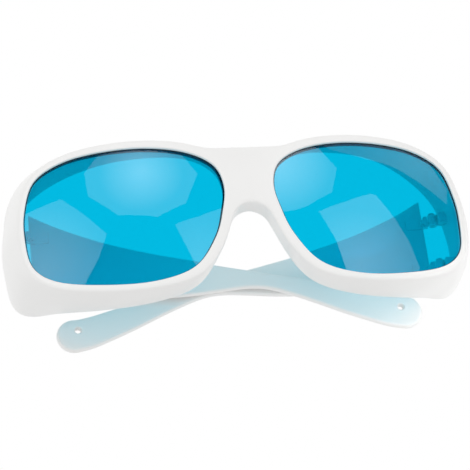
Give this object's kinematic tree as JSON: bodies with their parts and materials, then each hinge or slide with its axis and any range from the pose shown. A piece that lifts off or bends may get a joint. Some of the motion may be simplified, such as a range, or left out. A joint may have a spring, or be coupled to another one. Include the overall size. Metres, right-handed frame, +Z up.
{
  "type": "laser safety glasses",
  "caption": "Laser safety glasses with a wrap-around front, tinted filter lenses in deep side walls, and temples that fold on paired hinges.",
  "frame": {"origin": "on the ground under the middle of the folded glasses: half the width, half the folded depth, at the lowest point of the temples", "axes": "+X to the wearer's left along the longest extent, +Y from the front to the back, which is the shortest extent when folded, +Z up as worn"},
  "size_m": [0.1544, 0.047, 0.0571],
  "materials": {
    "frame_plastic": "satin moulded white",
    "temple_plastic": "satin moulded white",
    "filter_lens": "polished blue filter",
    "hinge_plastic": "satin moulded white",
    "hinge_steel": "plain stainless"
  },
  "bodies": {
    "front": {"front_frame": "frame_plastic", "lens_left": "filter_lens", "lens_right": "filter_lens", "front_leaf_upper_left": "hinge_plastic", "front_leaf_upper_right": "hinge_plastic", "front_leaf_lower_left": "hinge_plastic", "front_leaf_lower_right": "hinge_plastic", "hinge_screw_upper_left": "hinge_steel", "hinge_screw_upper_right": "hinge_steel", "hinge_screw_lower_left": "hinge_steel", "hinge_screw_lower_right": "hinge_steel"},
    "temple_l": {"temple_left": "temple_plastic", "temple_leaf_upper_left": "hinge_plastic", "temple_leaf_lower_left": "hinge_plastic"},
    "temple_r": {"temple_right": "temple_plastic", "temple_leaf_upper_right": "hinge_plastic", "temple_leaf_lower_right": "hinge_plastic"}
  },
  "joints": [
    {"name": "temple_left_fold", "type": "hinge", "parent": "front", "child": "temple_l", "pos_m": [0.0695, 0.01605, 0.031], "axis": [0, 0, -1], "range_deg": [0, 90.9]},
    {"name": "temple_right_fold", "type": "hinge", "parent": "front", "child": "temple_r", "pos_m": [-0.0695, 0.01605, 0.031], "axis": [0, 0, 1], "range_deg": [0, 94.2]}
  ]
}
